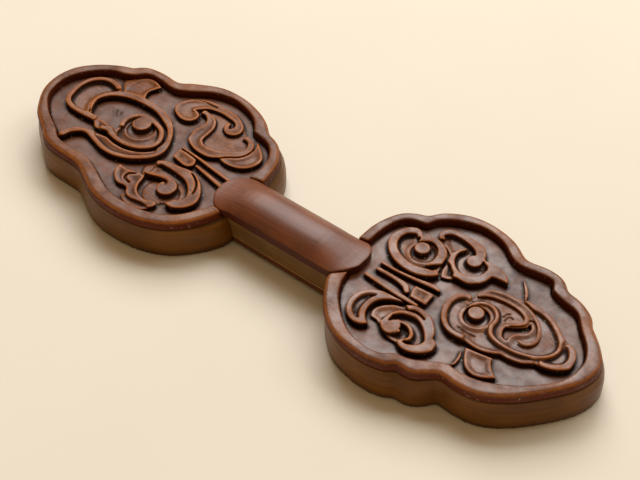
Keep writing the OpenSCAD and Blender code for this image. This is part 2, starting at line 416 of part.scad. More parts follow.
right_cloud_runs_share = [
    [[0.508, 0.072], [0.480, 0.072], [0.453, 0.050], [0.442, 0.010], [0.448, -0.032], [0.466, -0.068],
        [0.495, -0.097], [0.531, -0.112], [0.572, -0.112], [0.592, -0.105]],
    [[0.592, -0.105], [0.625, -0.109], [0.660, -0.106], [0.695, -0.092], [0.716, -0.078]],
    [[0.716, -0.078], [0.745, -0.078], [0.785, -0.069], [0.812, -0.052], [0.826, -0.041]],
    [[0.826, -0.041], [0.860, -0.040], [0.895, -0.026], [0.922, -0.003], [0.931, 0.015], [0.924, 0.060],
        [0.900, 0.092], [0.872, 0.103], [0.842, 0.115], [0.819, 0.132], [0.789, 0.153], [0.754, 0.169],
        [0.712, 0.177], [0.660, 0.174], [0.600, 0.166], [0.545, 0.148], [0.512, 0.122], [0.503, 0.095],
        [0.508, 0.072]]];
right_cloud_left_share = [[0.500, 0.064, 0.010], [0.470, 0.056, 0.013], [0.455, 0.020, 0.014],
    [0.456, -0.022, 0.014], [0.473, -0.060, 0.014], [0.508, -0.090, 0.014], [0.550, -0.102, 0.014],
    [0.580, -0.100, 0.010]];
right_cloud_ridge_share = [[0.650, 0.174, 0.006], [0.712, 0.170, 0.011], [0.765, 0.153, 0.013],
    [0.815, 0.120, 0.014], [0.850, 0.082, 0.014], [0.860, 0.044, 0.014], [0.845, 0.006, 0.014],
    [0.808, -0.024, 0.014], [0.755, -0.042, 0.015], [0.700, -0.046, 0.016], [0.652, -0.034, 0.016],
    [0.628, -0.004, 0.016], [0.625, 0.032, 0.014], [0.610, 0.060, 0.015], [0.580, 0.076, 0.016],
    [0.546, 0.070, 0.015], [0.525, 0.048, 0.015], [0.522, 0.018, 0.016]];
right_cloud_lobe_share = [[0.840, -0.030, 0.010], [0.885, -0.014, 0.018], [0.911, 0.014, 0.018],
    [0.910, 0.050, 0.018], [0.892, 0.078, 0.016], [0.868, 0.092, 0.008]];
right_cloud_knob_share = [0.554, 0.017, 0.029];
right_cloud_pit_share = [0.562, 0.008, 0.046];
right_swirl_outer_share = [[0.510, 0.095, 0.010], [0.530, 0.128, 0.015], [0.568, 0.148, 0.015],
    [0.630, 0.153, 0.015], [0.692, 0.140, 0.015], [0.748, 0.106, 0.016], [0.775, 0.065, 0.017],
    [0.778, 0.030, 0.018], [0.760, 0.006, 0.018], [0.735, 0.003, 0.012]];
right_swirl_inner_share = [[0.514, 0.086, 0.008], [0.542, 0.112, 0.013], [0.590, 0.126, 0.014],
    [0.650, 0.127, 0.015], [0.694, 0.112, 0.018], [0.708, 0.086, 0.018], [0.694, 0.062, 0.012],
    [0.672, 0.044, 0.006]];
right_swirl_sheet_runs_share = [
    [[0.512, 0.088], [0.529, 0.126], [0.568, 0.147], [0.630, 0.152], [0.692, 0.139], [0.735, 0.115]],
    [[0.735, 0.115], [0.704, 0.106], [0.650, 0.126], [0.590, 0.125], [0.542, 0.111], [0.512, 0.088]]];
right_well_runs_share = [
    [[0.722, 0.098], [0.737, 0.078], [0.732, 0.052], [0.708, 0.030], [0.697, 0.008], [0.700, -0.016]],
    [[0.700, -0.016], [0.676, -0.006], [0.664, 0.030], [0.692, 0.050], [0.719, 0.075], [0.722, 0.098]]];
right_shield_runs_share = [
    [[0.610, -0.126], [0.630, -0.165], [0.655, -0.195], [0.690, -0.209], [0.725, -0.200], [0.763, -0.172]],
    [[0.763, -0.172], [0.735, -0.152], [0.716, -0.130], [0.708, -0.108]],
    [[0.708, -0.108], [0.660, -0.118], [0.610, -0.126]]];
right_tick_far_share = [[0.592, 0.258, 0.006], [0.616, 0.234, 0.013], [0.634, 0.210, 0.013],
    [0.646, 0.184, 0.006]];
right_tick_near_share = [[0.606, -0.145, 0.005], [0.615, -0.170, 0.010], [0.618, -0.200, 0.010],
    [0.612, -0.214, 0.005]];

neck_off = [cover_off, handle_off];
cover_plan = [for (p = joined(cover_runs_share)) [p[0] * cover_l, p[1] * cover_w] + neck_off];
core_z = strip_lift + strip_h;
core_w = cover_w - 2 * core_in;
board_z = ground_z - ground_t;
tenon_z = (core_z + board_z - tenon_h) / 2;

// Closed outlines and strokes of a drawing in real lengths
function left_form(runs) = joined([for (r = runs) left_all(r)]);
function right_form(runs) = joined([for (r = runs) right_all(r)]);
function left_stroke(ps, edge = []) = stroke([for (p = ps) concat(left_at(p), [p[2] * head_l])], edge);
function right_stroke(ps, edge = []) = stroke([for (p = ps) concat(right_at(p), [p[2] * head_l])], edge);
function flat(p) = [p[0], p[1]];
function cap(p, d) = [for (a = [2 * cap_turn : -cap_turn : -2 * cap_turn])
    flat(p) + p[2] / 2 * (cos(a) * d + sin(a) * left_of(d))];
// One side of a stroke, run out over a near edge of its form, and eased back where the edge turns away
function brink(c, out, edge) = let (p = flat(c) + out * c[2] / 2,
    gap = len(edge) > 0 ? loop_gap(p, edge) : 0)
    p + out * run_out_share * min(gap, max(0, 2 * ledge_in - gap));
function stroke(ps, edge) = let (c = open_run(ps), n = len(c),
    d = [for (i = [0 : n - 1]) unit(flat(c[min(i + 1, n - 1)]) - flat(c[max(i - 1, 0)]))])
    concat([for (i = [0 : n - 1]) brink(c[i], left_of(d[i]), edge)], cap(c[n - 1], d[n - 1]),
        [for (i = [n - 1 : -1 : 0]) brink(c[i], -left_of(d[i]), edge)], cap(c[0], -d[0]));

// A flat form of height h that stands on the ground
module form(points, h = relief_h) {
    translate([0, 0, ground_z]) linear_extrude(height = h) polygon(points);
}
// Strokes of height h on the ground, such as the beads and ridges of a form
module strokes(lines, h = relief_h + bead_h) {
    translate([0, 0, ground_z]) linear_extrude(height = h) union() for (l = lines) polygon(l);
}
// Ridges of a form, cut to its outline
module ridges(outline, lines) {
    intersection() {
        form(outline, relief_h + bead_h);
        strokes(lines);
    }
}
// A round knob, and the sunk floor round it, at a place and radius in real lengths
module knob(place, r) {
    translate([place[0], place[1], ground_z]) cylinder(h = knob_h, r = r, $fn = knob_faces);
}
module pit(place, r) {
    translate([place[0], place[1], ground_z + floor_h]) cylinder(h = knob_h, r = r, $fn = knob_faces);
}

// Layers stacked from a height up, each with the points of the outline moved out by their reach
module layers(outline, layers_share, reach, z, h) {
    for (i = [0 : len(layers_share) - 1]) {
        low = i == 0 ? 0 : layers_share[i - 1][0];
        translate([0, 0, z + low * h]) linear_extrude(height = (layers_share[i][0] - low) * h)
            polygon(swollen(outline, layers_share[i][1] * reach));
    }
}
module wall(outline, reach) {
    layers(outline, wall_layers_share, reach, 0, rim_z);
}
module peg_hole(side) {
    translate([side * (neck_x + peg_in), handle_off, -over])
        cylinder(h = over + tenon_z + tenon_h + fit_gap, d = peg_d + fit_gap, $fn = peg_faces);
}
module tenon(side, gap) {
    far = neck_x + tenon_l;
    translate([side > 0 ? 0 : -far - gap, handle_off - tenon_w / 2 - gap, tenon_z - gap])
        cube([far + gap, tenon_w + 2 * gap, tenon_h + 2 * gap]);
}
module block(outline, reach, inner, side) {
    color(wall_brown) difference() {
        wall(outline, reach);
        translate([0, 0, board_z]) linear_extrude(height = ground_t + over) polygon(inner);
        tenon(side, fit_gap);
        peg_hole(side);
    }
}
// Raised rim with its rolled edge, open where the cover laps on
module rim(outline, inner) {
    color(rim_brown) difference() {
        layers(outline, roll_layers_share, [for (p = outline) rim_roll], rim_z, rim_h);
        translate([0, 0, rim_z - over]) linear_extrude(height = rim_h + 2 * over) polygon(inner);
        translate([0, 0, rim_z - over]) linear_extrude(height = rim_h + 2 * over)
            polygon(grown(cover_plan, fit_gap));
    }
}
module ground(inner) {
    color(ground_brown) translate([0, 0, board_z]) linear_extrude(height = ground_t)
        polygon(grown(inner, -fit_gap));
}

module left_block() { block(left_outline, left_reach, left_inner, -1); }
module left_rim() { rim(left_outline, left_inner); }
module left_ground() { ground(left_inner); }
module right_block() { block(right_outline, right_reach, right_inner, 1); }
module right_rim() { rim(right_outline, right_inner); }
module right_ground() { ground(right_inner); }

// West cloud of the left head: a ridge round a sunk floor, and a curl round a knob
module left_tip_cloud() {
    outline = left_form(left_cloud_runs_share);
    color(scroll_brown) {
        difference() {
            form(outline);
            for (floor_share = [left_cloud_west_floor_share, left_cloud_east_floor_share])
                translate([0, 0, slip_h]) form(grown(loop_run(left_all(floor_share)), ledge_in), knob_h);
            pit(left_at(left_cloud_pit_share), left_cloud_pit_share[2] * head_l);
        }
        ridges(outline, [for (l = [left_cloud_ridge_share, left_cloud_curl_share]) left_stroke(l, outline)]);
        knob(left_at(left_cloud_knob_share), left_cloud_knob_share[2] * head_l);
    }
}
module left_tail_loop() {
    outline = left_form(left_loop_runs_share);
    color(scroll_brown) {
        form(outline);
        ridges(outline, [left_stroke(left_loop_ridge_share, outline)]);
    }
}
// Its top slopes down into the ground, away from its notch
module left_corner_leaf() {
    low = left_at(left_corner_runs_share[2][2]);
    high = left_at((left_corner_runs_share[0][0] + left_corner_runs_share[0][1]) / 2);
    color(scroll_brown) difference() {
        form(left_form(left_corner_runs_share));
        translate([low[0], low[1] - head_w / 2, ground_z + slip_h / 2])
            rotate([0, -atan((relief_h - slip_h / 2) / (high[0] - low[0])), 0])
            translate([-head_l / 2, 0, 0]) cube([head_l, head_w, head_h]);
    }
}
module left_far_scroll() {
    outline = left_form(left_far_runs_share);
    color(scroll_brown) {
        form(outline, floor_h);
        form(left_form(left_far_curl_runs_share));
        intersection() {
            form(outline);
            strokes([left_stroke(left_far_stem_share, outline)], relief_h);
        }
    }
}
module left_far_crescent() { color(scroll_brown) form(left_form(left_crescent_runs_share)); }
module left_near_swirl() {
    outline = left_form(left_swirl_runs_share);
    place = left_at(left_swirl_knob_share);
    color(scroll_brown) difference() {
        union() {
            form(outline, slip_h);
            form(left_form(left_swirl_skirt_runs_share), floor_h);
            form(left_form(left_swirl_slip_runs_share), floor_h);
            translate([place[0], place[1], ground_z])
                cylinder(h = floor_h, r = left_swirl_floor_share * head_l, $fn = knob_faces);
            ridges(outline, [left_stroke(left_swirl_band_share, outline)]);
            strokes([left_stroke(left_swirl_arm_share)]);
            knob(place, left_swirl_knob_share[2] * head_l);
        }
        translate([0, 0, slip_h]) form(left_stroke(left_swirl_groove_share), knob_h);
        translate([0, 0, relief_h]) form(left_stroke(left_swirl_notch_share), knob_h);
    }
}
module left_near_leaf() {
    color(scroll_brown) difference() {
        union() {
            form(left_form(left_leaf_runs_share));
            form(left_form(left_lobe_runs_share), slip_h);
        }
        translate([0, 0, slip_h]) form(left_stroke(left_leaf_mark_share), knob_h);
    }
}
module left_tablet() { color(scroll_brown) form(left_form(left_tablet_runs_share)); }
module bar(line) {
    color(scroll_brown) difference() {
        form(line);
        form(grown(cover_plan, fit_gap), knob_h);
    }
}
module left_far_bar() { bar(left_stroke(left_bar_top_share)); }
module left_near_bar() { bar(left_stroke(left_bar_low_share)); }

module right_round_spiral() {
    outline = right_form(right_spiral_runs_share);
    color(scroll_brown) {
        difference() {
            union() {
                form(outline, slip_h);
                ridges(outline, [for (l = [right_spiral_band_share, right_spiral_ring_share])
                    right_stroke(l, outline)]);
            }
            pit(right_at(right_spiral_pit_share), right_spiral_pit_share[2] * head_l);
        }
        knob(right_at(right_spiral_knob_share), right_spiral_knob_share[2] * head_l);
    }
}
module right_hook_scroll() {
    outline = right_form(right_hook_runs_share);
    color(scroll_brown) {
        form(outline, slip_h);
        ridges(outline, [for (l = [right_hook_band_share, right_hook_ring_share, right_hook_tail_share])
            right_stroke(l, outline)]);
        knob(right_at(right_hook_knob_share), right_hook_knob_share[2] * head_l);
    }
}
module right_far_bar() { bar(right_stroke(right_bar_top_share)); }
module right_middle_bar() { bar(right_stroke(right_bar_mid_share)); }
module right_near_bar() { bar(right_stroke(right_bar_low_share)); }
module right_tablet() { color(scroll_brown) form(right_form(right_tablet_runs_share)); }
module right_crescent_leaf() {
    outline = right_form(right_crescent_runs_share);
    color(scroll_brown) {
        form(outline);
        ridges(outline, [for (l = [right_crescent_outer_share, right_crescent_inner_share])
            right_stroke(l, outline)]);
    }
}
module right_rosette() {
    outline = right_form(right_rosette_runs_share);
    color(scroll_brown) {
        form(outline, slip_h);
        ridges(outline, [for (l = [right_rosette_top_share, right_rosette_swirl_share,
            right_rosette_curl_share, right_rosette_petal_share]) right_stroke(l, outline)]);
        knob(right_at(right_rosette_knob_share), right_rosette_knob_share[2] * head_l);
    }
}
module right_tip_cloud() {
    outline = right_form(right_cloud_runs_share);
    color(scroll_brown) {
        difference() {
            union() {
                form(outline);
                ridges(outline, [for (l = [right_cloud_left_share, right_cloud_ridge_share,
                    right_cloud_lobe_share]) right_stroke(l, outline)]);
            }
            pit(right_at(right_cloud_pit_share), right_cloud_pit_share[2] * head_l);
            translate([0, 0, floor_h]) form(right_form(right_well_runs_share), knob_h);
        }
        knob(right_at(right_cloud_knob_share), right_cloud_knob_share[2] * head_l);
    }
}
// The swirl lies on the cloud
module right_tip_swirl() {
    color(scroll_brown) translate([0, 0, relief_h]) {
        form(right_form(right_swirl_sheet_runs_share), bead_h / 2);
        form(right_stroke(right_swirl_outer_share), bead_h);
        form(right_stroke(right_swirl_inner_share), bead_h);
    }
}
module right_shield_leaf() { color(scroll_brown) form(right_form(right_shield_runs_share)); }
module right_far_tick() { color(scroll_brown) form(right_stroke(right_tick_far_share), slip_h); }
module right_near_tick() { color(scroll_brown) form(right_stroke(right_tick_near_share), slip_h); }

// A bar between the heads, cut to their bellied walls
module between_heads(z, h) {
    difference() {
        translate([-neck_x, handle_off - core_w / 2, z]) cube([neck_span + 2 * cover_off, core_w, h]);
        wall(left_outline, left_reach);
        wall(right_outline, right_reach);
    }
}
module handle_core() {
    color(wall_brown) difference() {
        union() {
            between_heads(core_z, rim_z - core_z);
            tenon(-1, 0);
            tenon(1, 0);
        }
        peg_hole(-1);
        peg_hole(1);
    }
}
module handle_strip() { color(strip_brown) between_heads(strip_lift, strip_h); }
// Share of the sink towards the ends of the cover, and the height of its top at shares along and across
function sunk(t) = let (u = max(0, (abs(t) - sink_start_share) / (1 - sink_start_share)))
    u * u * (3 - 2 * u);
function top_at(t, w) = crown_h - lap_sink * sunk(t)
    - dome_drop * pow(abs(w), dome_power) * (1 - end_flat_share * sunk(t));
// Domed sheet over the whole cover, down to the seam
module dome() {
    n = across_steps + 1;
    flat_n = n * (along_steps + 1);
    top = [for (i = [0 : along_steps]) for (j = [0 : across_steps])
        let (t = 2 * i / along_steps - 1, w = 2 * j / across_steps - 1)
            [t * cover_l / 2 + cover_off, w * flare_share * cover_w + handle_off,
                top_at(t, w * 2 * flare_share)]];
    low = [for (p = top) [p[0], p[1], rim_z]];
    quads = [for (i = [0 : along_steps - 1]) for (j = [0 : across_steps - 1]) i * n + j];
    polyhedron(points = concat(top, low), faces = concat(
        [for (q = quads) [q, q + 1, q + n]], [for (q = quads) [q + 1, q + n + 1, q + n]],
        [for (q = quads) [q + flat_n, q + flat_n + n, q + flat_n + n + 1, q + flat_n + 1]],
        [for (i = [0 : along_steps - 1]) let (q = i * n)
            [q, q + n, q + n + flat_n, q + flat_n]],
        [for (i = [0 : along_steps - 1]) let (q = i * n + across_steps)
            [q, q + flat_n, q + n + flat_n, q + n]],
        [for (j = [0 : across_steps - 1]) [j, j + flat_n, j + 1 + flat_n, j + 1]],
        [for (j = [0 : across_steps - 1]) let (q = along_steps * n + j)
            [q, q + 1, q + 1 + flat_n, q + flat_n]]));
}
module handle_cover() {
    color(rim_brown) difference() {
        intersection() {
            translate([0, 0, rim_z]) linear_extrude(height = crown_h - rim_z) polygon(cover_plan);
            dome();
        }
        for (inner = [left_inner, right_inner])
            translate([0, 0, board_z]) linear_extrude(height = ground_t) polygon(inner);
    }
}
module peg(side) {
    color(peg_brown) translate([side * (neck_x + peg_in), handle_off, peg_lift])
        cylinder(h = tenon_z + tenon_h - peg_lift, d = peg_d, $fn = peg_faces);
}
module left_peg() { peg(-1); }
module right_peg() { peg(1); }

left_block();
left_rim();
left_ground();
left_tip_cloud();
left_tail_loop();
left_corner_leaf();
left_far_scroll();
left_far_crescent();
left_near_swirl();
left_near_leaf();
left_tablet();
left_far_bar();
left_near_bar();
right_block();
right_rim();
right_ground();
right_round_spiral();
right_hook_scroll();
right_far_bar();
right_middle_bar();
right_near_bar();
right_tablet();
right_crescent_leaf();
right_rosette();
right_tip_cloud();
right_tip_swirl();
right_shield_leaf();
right_far_tick();
right_near_tick();
handle_core();
handle_cover();
handle_strip();
left_peg();
right_peg();
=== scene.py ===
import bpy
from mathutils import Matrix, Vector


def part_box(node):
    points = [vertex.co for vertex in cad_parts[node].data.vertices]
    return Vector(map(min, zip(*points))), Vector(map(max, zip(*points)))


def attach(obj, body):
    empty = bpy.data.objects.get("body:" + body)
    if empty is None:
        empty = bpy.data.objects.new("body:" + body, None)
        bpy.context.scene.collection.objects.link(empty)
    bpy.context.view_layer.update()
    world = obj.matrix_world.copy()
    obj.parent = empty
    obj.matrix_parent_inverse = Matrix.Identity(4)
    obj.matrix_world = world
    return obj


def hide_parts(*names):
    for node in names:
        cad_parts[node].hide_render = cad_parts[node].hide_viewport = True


bl_info = {
    "name": "Ruyi Scepter",
    "version": (1, 0, 0),
    "blender": (4, 5, 0),
    "location": "View3D > Sidebar > Ruyi",
    "description": "Dresses a carved wooden ruyi hand piece with soft relief and waxed hardwood",
    "category": "Object",
}

import math

import bmesh
import bpy
import numpy as np
from bpy.props import FloatProperty, FloatVectorProperty, IntProperty, PointerProperty
from mathutils import Vector, kdtree

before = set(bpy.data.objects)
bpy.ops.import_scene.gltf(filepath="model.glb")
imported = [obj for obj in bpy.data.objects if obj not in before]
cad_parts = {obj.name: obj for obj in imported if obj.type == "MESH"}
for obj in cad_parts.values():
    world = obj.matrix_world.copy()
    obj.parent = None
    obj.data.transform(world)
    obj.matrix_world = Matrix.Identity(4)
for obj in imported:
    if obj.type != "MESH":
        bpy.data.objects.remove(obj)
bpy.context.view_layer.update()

MM = 0.001
CARVING = {
    "left": (
        "left_tip_cloud", "left_tail_loop", "left_corner_leaf", "left_far_scroll", "left_far_crescent",
        "left_near_swirl", "left_near_leaf", "left_tablet", "left_far_bar", "left_near_bar",
    ),
    "right": (
        "right_round_spiral", "right_hook_scroll", "right_far_bar", "right_middle_bar", "right_near_bar",
        "right_tablet", "right_crescent_leaf", "right_rosette", "right_tip_cloud", "right_tip_swirl",
        "right_shield_leaf", "right_far_tick", "right_near_tick",
    ),
}

# The heads' drawing, as in the part's source: u runs out along a head from the neck, v across it
HEAD_LENGTH = 100 * MM
NECK_SPAN = 50 * MM
AXIS_SHARE = 0.002
OUTWARDS = {"left": -1, "right": 1}

# Fine incised lines, read off the photograph, as (u, v) shares of a head's length
INCISED_SHARE = {
    "left_ground": (
        ((0.697, 0.020), (0.683, 0.002), (0.672, -0.008)),
        ((0.674, 0.022), (0.666, 0.006)),
        ((0.702, 0.004), (0.690, -0.007)),
    ),
    "left_tip_cloud": (((0.577, 0.026), (0.573, 0.005), (0.562, -0.012)),),
    "left_far_scroll": (
        ((0.450, 0.197), (0.441, 0.190), (0.434, 0.193)),
        ((0.487, 0.250), (0.440, 0.268), (0.380, 0.272)),
    ),
    "right_tip_cloud": (
        ((0.645, 0.058), (0.644, 0.072), (0.651, 0.083), (0.663, 0.081)),
        ((0.632, 0.070), (0.634, 0.085), (0.643, 0.094)),
        ((0.535, -0.066), (0.570, -0.070), (0.605, -0.066)),
    ),
}

# Shaping, in metres and radians. A pair gives where a change begins and where it is full.
WELD = 0.002 * MM
BELOW_ALL, ABOVE_ALL = -1.0, 1.0
FAR_AWAY = 1.0
SEAM_GAP = 0.05 * MM
BLOCK_FOOT = 0.4 * MM
BELLY_FOOT = 0.5 * MM
BELLY_OVER_SEAM = 1.2 * MM
CARVING_FOOT = 0.3 * MM
DISH_LOW, DISH_HIGH = 0.9 * MM, 2.3 * MM
DISH_FROM_CREST = (0.7 * MM, 2.6 * MM)
LINE_WIDTH = (0.12 * MM, 0.5 * MM)
FOOT_BAND = (-0.3 * MM, 0.8 * MM)
BOARD_TOP = 0.4 * MM
CREST_FOLD = 0.6
CREST_LIFT = 4.0

# Shares of the faces' sizes in the settings, and smoothing passes
BLOCK_GRAIN, RIM_GRAIN, COVER_GRAIN, STRIP_GRAIN = 1.15, 1.2, 1.3, 0.8
GUIDE_PASSES, COVER_PASSES, CORE_PASSES, STRIP_PASSES = 3, 12, 2, 3

# The dull left end and the shiny right end of the piece, along x
DULL_X, SHINY_X = -50 * MM, 50 * MM
COVER_DULL_X, COVER_SHINY_X = -50 * MM, 20 * MM

# The photograph's camera: place in metres, turn in degrees, lens and sensor in millimetres
CAMERA_PLACE = (0.22725, -0.25982, 0.34589)
CAMERA_TURN = (45, 0, 39.5)
CAMERA_LENS, CAMERA_SENSOR = 73.125, 36
# Lamps: name, place and size in metres, power in watts
LAMPS = (
    ("Back window", (-0.90, 1.245, 1.65), 1.5, 43.6),
    ("Far window", (0.545, 1.496, 1.59), 1.2, 13.0),
)
SKY_STRENGTH = 0.28
FLOOR_SIZE = 6


def shade(red, green, blue):
    """A colour seen on screen, as the linear colour that the shaders take."""
    return tuple(
        c / 12.92 if c <= 0.04045 else ((c + 0.055) / 1.055) ** 2.4
        for c in (red / 255, green / 255, blue / 255)
    )


class RuyiSizes(bpy.types.PropertyGroup):
    fine_voxel: FloatProperty(
        name="Carving grain", description="Size of the faces on the carved forms",
        default=0.22 * MM, min=0.15 * MM, max=1 * MM, unit="LENGTH", precision=5,
    )
    broad_voxel: FloatProperty(
        name="Wall grain", description="Size of the faces on the walls and the ground boards",
        default=0.5 * MM, min=0.3 * MM, max=2 * MM, unit="LENGTH", precision=5,
    )
    guide_voxel: FloatProperty(
        name="Head grain", description="Size of the faces of the soft forms that the heads are drawn to",
        default=0.42 * MM, min=0.3 * MM, max=2 * MM, unit="LENGTH", precision=5,
    )
    carving_rounding: IntProperty(
        name="Carving rounding", description="Smoothing passes that round the carved edges",
        default=20, min=0, max=60,
    )
    wall_rounding: IntProperty(
        name="Wall rounding", description="Smoothing passes that melt the steps of the bellied walls",
        default=34, min=0, max=80,
    )
    rim_rounding: IntProperty(
        name="Rim rounding", description="Smoothing passes that round the rims",
        default=24, min=0, max=60,
    )
    dish_depth: FloatProperty(
        name="Dish depth", description="How far the carved tops are hollowed between their edges",
        default=0.5 * MM, min=0, max=1.2 * MM, unit="LENGTH", precision=5,
    )
    line_depth: FloatProperty(
        name="Line depth", description="Depth of the fine incised lines",
        default=0.25 * MM, min=0, max=0.6 * MM, unit="LENGTH", precision=5,
    )
    # How far the painted shade and the dark wax reach from the foot of the carving on the grounds.
    shade_and_wax_reach: FloatProperty(
        name="Crevice reach", description="How far the dark wax spreads from the foot of the carving",
        default=1.5 * MM, min=0.2 * MM, max=5 * MM, unit="LENGTH", precision=5,
    )


class RuyiColours(bpy.types.PropertyGroup):
    top: FloatVectorProperty(
        name="Waxed tops", description="Brown of the flat carved tops",
        subtype="COLOR", size=3, min=0, max=1, default=shade(148, 86, 36),
    )
    top_dark: FloatVectorProperty(
        name="Darker streaks", description="Darker brown that the tops vary to",
        subtype="COLOR", size=3, min=0, max=1, default=shade(86, 42, 15),
    )
    worn: FloatVectorProperty(
        name="Worn edges", description="Orange brown of the rubbed edges",
        subtype="COLOR", size=3, min=0, max=1, default=shade(186, 106, 44),
    )
    # Dark wax and painted shade: the colour put in the carving's folds, down its steep walls, and along the
    # foot of the carving on the grounds.
    dark_wax_and_shade: FloatVectorProperty(
        name="Crevices", description="Dark wax in the hollows",
        subtype="COLOR", size=3, min=0, max=1, default=shade(36, 14, 6),
    )
    # Dark red wax and painted shade, put down the rims' rolls and inner walls where they turn steep.
    rim_wax_and_shade: FloatVectorProperty(
        name="Rim rolls", description="Dark red down the rolls and the inner walls of the rims",
        subtype="COLOR", size=3, min=0, max=1, default=shade(88, 30, 6),
    )
    dust: FloatVectorProperty(
        name="Dust", description="Pale specks of dust in the hollows",
        subtype="COLOR", size=3, min=0, max=1, default=shade(176, 162, 148),
    )
    ground: FloatVectorProperty(
        name="Sunk grounds", description="Brown of the ground boards",
        subtype="COLOR", size=3, min=0, max=1, default=shade(122, 68, 32),
    )
    ground_dark: FloatVectorProperty(
        name="Darker grounds", description="Darker brown that the ground boards vary to",
        subtype="COLOR", size=3, min=0, max=1, default=shade(76, 40, 20),
    )
    wall: FloatVectorProperty(
        name="Head walls", description="Olive brown of the heads' side walls",
        subtype="COLOR", size=3, min=0, max=1, default=shade(134, 84, 24),
    )
    wall_dark: FloatVectorProperty(
        name="Darker walls", description="Dark olive that the side walls vary to",
        subtype="COLOR", size=3, min=0, max=1, default=shade(84, 50, 14),
    )
    # Painted shadow along the foot of a side wall and painted shade just under its seam.
    wall_painted_shade: FloatVectorProperty(
        name="Wall edges", description="Dark stain along the foot and the seam of a side wall",
        subtype="COLOR", size=3, min=0, max=1, default=shade(34, 18, 9),
    )
    glue: FloatVectorProperty(
        name="Old glue", description="Pale line of glue in the handle's seam",
        subtype="COLOR", size=3, min=0, max=1, default=shade(226, 186, 124),
    )
    cover: FloatVectorProperty(
        name="Handle cover", description="Red brown of the polished cover",
        subtype="COLOR", size=3, min=0, max=1, default=shade(140, 72, 30),
    )
    cover_dark: FloatVectorProperty(
        name="Darker cover", description="Darker brown of the cover's grain",
        subtype="COLOR", size=3, min=0, max=1, default=shade(84, 40, 18),
    )
    # Painted shade in dark red, put down the steep sides of the cover.
    cover_side_shade: FloatVectorProperty(
        name="Cover edges", description="Dark red down the sides of the cover",
        subtype="COLOR", size=3, min=0, max=1, default=shade(70, 24, 10),
    )
    core: FloatVectorProperty(
        name="Handle core", description="Olive brown of the handle's side walls",
        subtype="COLOR", size=3, min=0, max=1, default=shade(136, 98, 48),
    )
    core_dark: FloatVectorProperty(
        name="Darker core", description="Dark olive that the handle's walls vary to",
        subtype="COLOR", size=3, min=0, max=1, default=shade(86, 60, 28),
    )
    strip: FloatVectorProperty(
        name="Base strip", description="Dark orange brown of the strip under the handle",
        subtype="COLOR", size=3, min=0, max=1, default=shade(112, 60, 18),
    )
    strip_dark: FloatVectorProperty(
        name="Darker strip", description="Darker brown that the strip varies to",
        subtype="COLOR", size=3, min=0, max=1, default=shade(66, 34, 10),
    )
    peg: FloatVectorProperty(
        name="Pegs", description="Plain wood of the hidden pegs",
        subtype="COLOR", size=3, min=0, max=1, default=shade(140, 108, 70),
    )
    peg_dark: FloatVectorProperty(
        name="Darker pegs", description="Darker wood that the pegs vary to",
        subtype="COLOR", size=3, min=0, max=1, default=shade(110, 82, 52),
    )
    floor: FloatVectorProperty(
        name="Floor", description="Pale cream of the floor",
        subtype="COLOR", size=3, min=0, max=1, default=shade(249, 240, 224),
    )
    lamp: FloatVectorProperty(
        name="Lamps", description="Colour of the soft lamps",
        subtype="COLOR", size=3, min=0, max=1, default=(0.98, 0.995, 1.0),
    )
    sky: FloatVectorProperty(
        name="Room", description="Warm light of the room all round",
        subtype="COLOR", size=3, min=0, max=1, default=(1.0, 0.72, 0.40),
    )


def settings():
    """The sizes and the colours that the user can change."""
    return bpy.context.scene.ruyi_sizes, bpy.context.scene.ruyi_colours


class Line:
    """One socket of a node tree, with the operators that its expressions use."""

    def __init__(self, tree, socket):
        self.tree, self.socket = tree, socket

    def maths(self, operation, *others, clamp=False):
        return grow(self.tree, "ShaderNodeMath", {"operation": operation, "use_clamp": clamp},
                    {i: v for i, v in enumerate((self, *others))})

    def __add__(self, other):
        return self.maths("ADD", other)

    def __radd__(self, other):
        return self.maths("ADD", other)

    def __sub__(self, other):
        return self.maths("SUBTRACT", other)

    def __rsub__(self, other):
        return grow(self.tree, "ShaderNodeMath", {"operation": "SUBTRACT"}, {0: other, 1: self})

    def __mul__(self, other):
        return self.maths("MULTIPLY", other)

    def __rmul__(self, other):
        return self.maths("MULTIPLY", other)

    def clamped(self):
        return self.maths("ADD", 0.0, clamp=True)

    def spread(self, low, high):
        """0 at low, 1 at high, eased between them."""
        return grow(self.tree, "ShaderNodeMapRange", {"interpolation_type": "SMOOTHSTEP"},
                    {"Value": self, "From Min": low, "From Max": high})


def grow(tree, kind, choices=None, inputs=None, output=0):
    """A node of a kind with its settings, then the values or links of its sockets."""
    node = tree.nodes.new(kind)
    for key, value in (choices or {}).items():
        setattr(node, key, value)
    for key, value in (inputs or {}).items():
        if isinstance(value, Line):
            tree.links.new(value.socket, node.inputs[key])
        else:
            node.inputs[key].default_value = value
    return Line(tree, node.outputs[output]) if node.outputs else None


def blend_colour(tree, factor, first, second):
    """A colour between two colours, by a factor that varies."""
    def full(colour):
        return colour if isinstance(colour, Line) else (*colour[:3], 1)
    return grow(tree, "ShaderNodeMix", {"data_type": "RGBA"},
                {0: factor, 6: full(first), 7: full(second)}, output=2)


def coordinates(tree, stretch=(1, 1, 1)):
    """Object coordinates, stretched along the axes."""
    place = grow(tree, "ShaderNodeTexCoord", output=3)
    return grow(tree, "ShaderNodeMapping", None, {"Vector": place, "Scale": stretch})


def along(tree, axis):
    """One of the object coordinates: 0 is x, 2 is z."""
    return grow(tree, "ShaderNodeSeparateXYZ", None, {0: coordinates(tree)}, output=axis)


def noise(tree, place, scale, detail=4.0, roughness=0.55, distortion=0.0):
    """Soft noise. The scale is in spots per metre."""
    return grow(tree, "ShaderNodeTexNoise", {"noise_dimensions": "3D"},
                {"Vector": place, "Scale": scale, "Detail": detail, "Roughness": roughness,
                 "Distortion": distortion})


